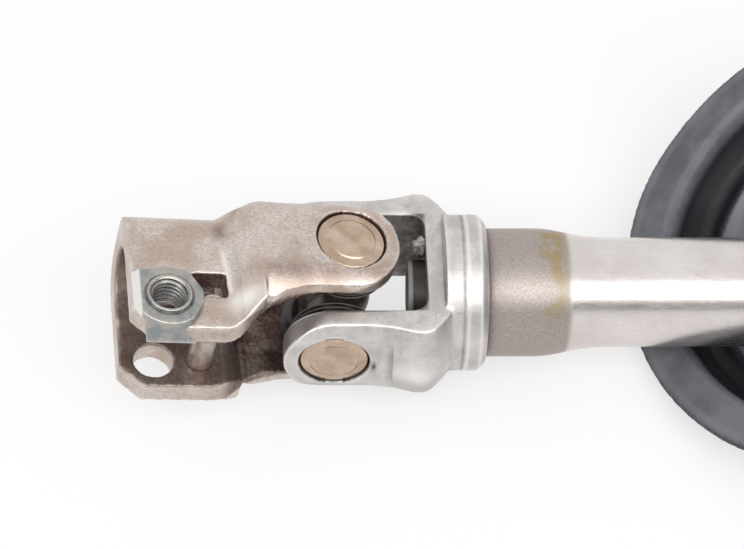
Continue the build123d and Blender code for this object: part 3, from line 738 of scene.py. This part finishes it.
def cupProfile(look):
    # the outline of a drawn cup, from its face's centre over the rim to the mouth and back up the inside; the face
    # lies at face - crown (r / radius)^4, with a low boss and turned rings in it
    r = np.linspace(0, look["radius"] - look["edge"], look["rows"])
    ringGap = np.abs(r[:, None] - np.array(look["rings"])[None]).min(axis=1)
    h = look["face"] - look["crown"] * (r / look["radius"]) ** 4
    h = h + look["bossHeight"] * (1 - ramp(r, *look["boss"]))
    h = h - look["ringDepth"] * (1 - ramp(ringGap, 0, look["ringWidth"]))
    low, outside = look["face"] - look["crown"], look["radius"] - look["play"]
    inside, base = look["radius"] - look["wall"], look["face"] - look["base"]
    side = roundedProfile([
        (look["radius"] - look["edge"], low), (outside, low - look["edge"]), (outside, look["mouth"]),
        (inside, look["mouth"]), (inside, base), (0, base)], look["round"])
    return np.vstack([np.stack([r, h], -1), side[1:]])


sealLook = {
    "inner": 5.0, "radius": 9.9, "ridge": 0.8, "ribs": 3, "low": 10.0, "top": 13.5, "start": 10.15, "end": 13.4,
    "mouth": 11.0, "cup": 8.0, "rows": 40, "turns": 72, "dustAndHighlight": (9.65, 9.9),
}


def sealProfile(look):
    # ribs: the outer radius is radius - ridge (1 + cos) / 2 along the height
    h = np.linspace(look["start"], look["end"], look["rows"])
    wave = 0.5 + 0.5 * np.cos((h - h[0]) / (h[-1] - h[0]) * 2 * np.pi * look["ribs"])
    outside = np.stack([look["radius"] - look["ridge"] * wave, h], -1)
    inside = np.array([(look["cup"], look["top"]), (look["cup"], look["mouth"]), (look["inner"], look["mouth"]),
                       (look["inner"], look["low"])])
    return np.vstack([outside, inside])


bearings = [
    ("lower", "top", "lower_clamp", lowerClamp), ("lower", "bottom", "lower_clamp", lowerClamp),
    ("lower", "front", "shaft", lowerFork), ("lower", "back", "shaft", lowerFork),
    ("upper", "top", "upper_clamp", upperClamp), ("upper", "bottom", "upper_clamp", upperClamp),
    ("upper", "front", "slider", upperCross), ("upper", "back", "slider", upperCross),
]
for joint, side, body, carrier in bearings:
    place = carrier @ ends[side]
    cup, seal = f"{joint}_cup_{side}", f"{joint}_seal_{side}"
    mesh = turnedMesh(cup, cupProfile(cupLook), place, cupLook["turns"])
    x, y, z = placedPoints(mesh, place).T
    # painted shade round the cup's rim, in its gap to the yoke's hole
    addAttribute(mesh, "crevice", ramp(np.hypot(x, y), *cupLook["dirt"]))
    finishPiece(cup + "_skin", mesh, cupSteel, body, [cup])
    mesh = turnedMesh(seal, sealProfile(sealLook), place, sealLook["turns"], closed=True)
    x, y, z = placedPoints(mesh, place).T
    # a painted highlight on the seal's outer ribs
    addAttribute(mesh, "edge", ramp(np.hypot(x, y), *sealLook["dustAndHighlight"]))
    finishPiece(seal + "_skin", mesh, sealRubber, body, [seal])
print("bearings made")


# locating pin: its end stands up into the window, under the near ear's face

pinLook = {"x": -31.2, "y": -14.1, "radius": 2.95, "low": -10.6, "high": 12.6, "edge": 0.4, "turns": 64}


def addPin(node, place, body):
    # a cylinder with rounded edges: the corner points of half its section, turned about its own axis
    look = pinLook
    radius, low, high = look["radius"], look["low"], look["high"]
    profile = roundedProfile([(0, low), (radius, low), (radius, high), (0, high)], look["edge"])
    mesh = turnedMesh(node, profile, place @ shift(look["x"], look["y"]), look["turns"])
    finishPiece(node + "_skin", mesh, pinSteel, body, [node])


for joint, place in clamps.items():
    addPin(f"{joint}_locating_pin", place, f"{joint}_clamp")


# a lump of grease, thrown on the tube yoke's web above its plug

greaseLook = {"centre": (19.9, 6.6, 8.4), "size": (2.1, 2.3, 2.5), "rough": 0.17, "around": 40, "rows": 24}


def addGrease(name, place, body):
    # an ellipsoid whose radius grows by rough sin b (sin 3a cos 4b + sin (5b + 1) / 2), with a and b its two angles
    look = greaseLook
    a = np.linspace(0, 2 * np.pi, look["around"], endpoint=False)[:, None]
    b = np.linspace(0, np.pi, look["rows"])[None, :]
    grown = 1 + look["rough"] * np.sin(b) * (np.sin(3 * a) * np.cos(4 * b) + 0.5 * np.sin(5 * b + 1))
    points = np.stack([np.cos(b) + 0 * a, np.sin(b) * np.cos(a), np.sin(b) * np.sin(a)], -1)
    points = points * grown[..., None] * np.array(look["size"]) + np.array(look["centre"])
    mesh = makeMesh(name, points, gridFaces(look["around"], look["rows"], wrapRows=True), place)
    finishPiece(name, mesh, dustyGrease, body)


addGrease("grease_lump", lowerFork, "shaft")


# outer tube: swaged up to the collar, then drawn down, with a rounded taper

tubeLook = {
    "start": 28.2, "swage": 14.8, "swageEnd": 48.5, "taperTop": (13.1, 57.0), "radius": 12.65, "taperEnd": 60.5,
    "taperFoot": 62.0, "end": 245.0, "wall": 2.25, "edge": 1.0, "round": 3.0, "steps": 8, "turns": 160,
}


def tubeProfile(look):
    # radius and place, from the collar's socket along the outside and back inside
    radius, bore, swageBore = look["radius"], look["radius"] - look["wall"], look["swage"] - look["wall"]
    outside = roundedProfile([
        (look["swage"], look["start"]), (look["swage"], look["swageEnd"]), look["taperTop"],
        (radius, look["taperFoot"]), (radius, look["end"] - look["edge"]), (radius - look["edge"], look["end"]),
        (bore, look["end"])], look["round"], look["steps"])
    inside = np.array([(bore, look["taperEnd"]), (swageBore, look["swageEnd"]), (swageBore, look["start"])])
    return np.vstack([outside, inside])


mesh = turnedMesh("outer_tube", tubeProfile(tubeLook), lowerFork @ rotation("Y", 90), tubeLook["turns"], closed=True)
finishPiece("outer_tube_skin", mesh, tubeSteel, "shaft", ["outer_tube"])


# rubber boot: soft moulded edges and a slightly wavy rim

bootLook = {
    "voxel": 0.85, "rounds": 5, "evenings": 4, "centre": (122.7, 10.1, 11.9), "tilt": 32.3, "roll": 7.0,
    "wave": 0.7, "waveOut": (51.0, 59.9), "waveHigh": (-6, -1),
    # painted shade, painted highlights and a paler floor, by radius and by depth under the rim's plane
    "hollow": (40.0, 40.8), "hollowEnd": (49.9, 50.8), "hollowDeep": (2.0, 5.0), "hollowShade": 0.9,
    "cornerBend": (0.01, 0.08), "cornerOut": (40.5, 41.5), "cornerShade": 0.5, "outer": (58.9, 59.5), "outerShade": 0.7,
    "edgeBend": (0.02, 0.09), "edgeHighlight": 0.25, "ridge": (51.0, 0.5), "ridgeHigh": (-1.0, -0.2), "ridgeHighlight": 0.35,
    "border": (57.8, 0.9), "borderHigh": (-4, -2), "borderHighlight": 0.35,
    "floor": (40.0, 40.8), "floorDeep": (8, 10), "floorLow": (-13.5, -13.0), "floorPale": 0.5,
}


def dressBoot():
    # rim wave: dz = wave (sin 3t + sin (7t + 1) / 2) towards the rim, along the rim's axis
    look = bootLook
    place = lowerFork @ shift(*look["centre"]) @ rotation("X", look["roll"]) @ rotation("Y", -look["tilt"])
    mesh = softened("boot", look["voxel"], look["rounds"])
    x, y, z = placedPoints(mesh, place).T
    radius, turn = np.hypot(x, y), np.arctan2(y, x)
    amount = ramp(radius, *look["waveOut"]) * ramp(z, *look["waveHigh"])
    z = z + look["wave"] * amount * (np.sin(3 * turn) + 0.5 * np.sin(7 * turn + 1))
    bend = bends(mesh, look["evenings"])
    # painted shade in the bell's hollow, in its folds and along the rim's outer edge; painted highlights on the ridge
    # round it, on the rim's border and on round edges; a paler floor
    hollow = ramp(-z, *look["hollowDeep"]) * ramp(radius, *look["hollow"]) * fall(radius, *look["hollowEnd"])
    outer = ramp(radius, *look["outer"])
    corner = ramp(bend, *look["cornerBend"]) * ramp(radius, *look["cornerOut"])
    addAttribute(mesh, "crevice", np.maximum.reduce([
        look["hollowShade"] * hollow, look["cornerShade"] * corner, look["outerShade"] * outer]))
    ridge = bump(radius, *look["ridge"]) * ramp(z, *look["ridgeHigh"])
    border = bump(radius, *look["border"]) * ramp(z, *look["borderHigh"])
    floor = fall(radius, *look["floor"]) * ramp(-z, *look["floorDeep"]) * ramp(z, *look["floorLow"])
    pale = np.maximum.reduce([
        look["edgeHighlight"] * ramp(-bend, *look["edgeBend"]), look["ridgeHighlight"] * ridge, look["borderHighlight"] * border,
        look["floorPale"] * floor])
    addAttribute(mesh, "edge", pale * (1 - hollow) * (1 - outer))
    movePoints(mesh, np.stack([x, y, z], -1), place)
    finishPiece("boot_skin", mesh, bootRubber, "boot_turning", ["boot"])


dressBoot()
print("tube and boot made")


# the plug in the tube yoke's bore: black rubber, with a painted highlight on its open rim

plugLook = {
    "radius": 7.6, "start": 17.0, "end": 23.0, "wall": 1.2, "flange": 10.0, "back": 24.4, "round": 0.2,
    "rim": (17.8, 18.3), "rimHighlight": 0.7, "rimRows": (0.9, 1.4),
}


def plugProfile(look):
    # half the section: the skirt, with two rows of points for its rim's painted highlight, then the flange in the web's
    # counterbore
    radius, bore, start, end = look["radius"], look["radius"] - look["wall"], look["start"], look["end"]
    rows = [(radius, start + row) for row in look["rimRows"]]
    return roundedProfile([
        (bore, end), (bore, start), (radius, start), *rows, (radius, end), (look["flange"], end),
        (look["flange"], look["back"]), (0, look["back"])], look["round"])


mesh = turnedMesh("yoke_plug", plugProfile(plugLook), lowerFork @ rotation("Y", 90))
x, y, z = placedPoints(mesh, lowerFork).T
# painted highlight on the open rim
addAttribute(mesh, "edge", plugLook["rimHighlight"] * fall(x, *plugLook["rim"]))
finishPiece("yoke_plug_skin", mesh, plugRubber, "shaft", ["yoke_plug"])
print("plug made")


# the solids that keep the CAD's own mesh get their material

plainNodes = {
    "lower_spider": crossSteel, "upper_spider": crossSteel, "inner_shaft": splineSteel, "spline_sleeve": naturalNylon,
    "boot_bush": blackAcetal, **{f"{joint}_needles_{side}": needleSteel for joint, side, body, carrier in bearings},
}
for node, material in plainNodes.items():
    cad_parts[node].data.materials.clear()
    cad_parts[node].data.materials.append(material)


# studio: white floor, one big soft lamp over the camera, a dark card below it that the polished tube mirrors

# metres, watts and degrees; each angle goes from straight up towards the camera's side
studio = {
    "floor": -24.5 * mm, "half": 6.0, "floorColor": "#a6a4a4", "glow": 0.63, "world": 0.6,
    "lampDistance": 1.15, "lampTilt": 36.5, "lampSize": (2.6, 0.64), "lampPower": 13.0,
    "cardAngles": (55.0, 77.0), "cardDistance": 1.2, "cardLength": 2.4, "cardColor": "#202020", "cardGlow": 0.3,
}


def addLamp(name, tilt, distance, size, power):
    # an area lamp at a distance from the lower joint
    lamp = bpy.data.lights.new(name, "AREA")
    lamp.shape = "RECTANGLE"
    lamp.size, lamp.size_y = size
    lamp.energy = power
    holder = bpy.data.objects.new(name, lamp)
    bpy.context.scene.collection.objects.link(holder)
    placed = shift(joints["lowerX"] * mm) @ rotation("X", tilt) @ shift(0, 0, distance)
    holder.matrix_world = Matrix(placed.tolist())


def studioMaterial(name, color, glow):
    # matte paper that glows a little to the camera and to mirrors, so that it reads white and keeps its shadow
    material, tree, shader = startMaterial(name)
    shader.inputs["Base Color"].default_value = linear(color)
    shader.inputs["Roughness"].default_value = 0.9
    shader.inputs["Specular IOR Level"].default_value = 0.0
    path = addNode(tree, "ShaderNodeLightPath")
    seen = addNode(tree, "ShaderNodeMath", {
        "operation": "MAXIMUM", 0: path.outputs["Is Camera Ray"], 1: path.outputs["Is Glossy Ray"]})
    seen = addNode(tree, "ShaderNodeMath", {"operation": "MULTIPLY", 0: seen.outputs[0], 1: glow})
    shader.inputs["Emission Color"].default_value = linear("#ffffff")
    tree.links.new(seen.outputs[0], shader.inputs["Emission Strength"])
    return material


def addCard(name, left, right, front, back, material):
    # a flat card between two places along X and two edges, each told by its Y and Z
    mesh = bpy.data.meshes.new(name)
    mesh.from_pydata([(left, *front), (right, *front), (right, *back), (left, *back)], [], [(0, 1, 2, 3)])
    mesh.materials.append(material)
    card = bpy.data.objects.new(name, mesh)
    bpy.context.scene.collection.objects.link(card)


half, cardHalf, cardX = studio["half"], studio["cardLength"] / 2, joints["lowerX"] * mm
addCard("floor", -half, half, (-half, studio["floor"]), (half, studio["floor"]),
        studioMaterial("whitePaper", studio["floorColor"], studio["glow"]))
addLamp("bigSoftbox", studio["lampTilt"], studio["lampDistance"], studio["lampSize"], studio["lampPower"])
cardEdges = [(-np.sin(a) * studio["cardDistance"], np.cos(a) * studio["cardDistance"])
             for a in np.radians(studio["cardAngles"])]
addCard("darkCard", cardX - cardHalf, cardX + cardHalf, *cardEdges,
        studioMaterial("greyCard", studio["cardColor"], studio["cardGlow"]))

world = bpy.data.worlds.new("studioRoom")
bpy.context.scene.world = world
world.use_nodes = True
worldTree = world.node_tree
background = worldTree.nodes["Background"]
background.inputs["Color"].default_value = linear("#ffffff")
worldPath = addNode(worldTree, "ShaderNodeLightPath")
seenDirectly = addNode(worldTree, "ShaderNodeMath", {
    "operation": "MAXIMUM", 0: worldPath.outputs["Is Camera Ray"], 1: worldPath.outputs["Is Transmission Ray"]})
seenDirectly = addNode(worldTree, "ShaderNodeMath", {
    "operation": "MAXIMUM", 0: seenDirectly.outputs[0], 1: worldPath.outputs["Is Glossy Ray"]})
worldStrength = addNode(worldTree, "ShaderNodeMapRange", {
    "Value": seenDirectly.outputs[0], **span(0, 1, studio["world"], 1.0)})
worldTree.links.new(worldStrength.outputs["Result"], background.inputs["Strength"])
bpy.context.scene.view_settings.view_transform = "Standard"


# camera, found from the photograph: a long lens that looks down over the joint

cameraLook = {
    "place": (-0.3748, -0.30058, 0.37961), "right": (0.99945, -0.02236, 0.02459), "up": (0.00198, 0.77854, 0.6276),
    "back": (-0.03318, -0.6272, 0.77815), "lens": 101.56, "sensor": 36.0, "clip": 0.01,
}
camera = bpy.data.cameras.new("camera")
camera.lens = cameraLook["lens"]
camera.sensor_width = cameraLook["sensor"]
camera.clip_start = cameraLook["clip"]
cameraHolder = bpy.data.objects.new("camera", camera)
bpy.context.scene.collection.objects.link(cameraHolder)
columns = np.eye(4)
columns[:3, 0], columns[:3, 1], columns[:3, 2] = cameraLook["right"], cameraLook["up"], cameraLook["back"]
columns[:3, 3] = cameraLook["place"]
cameraHolder.matrix_world = Matrix(columns.tolist())
bpy.context.scene.camera = cameraHolder
print("studio and camera set")
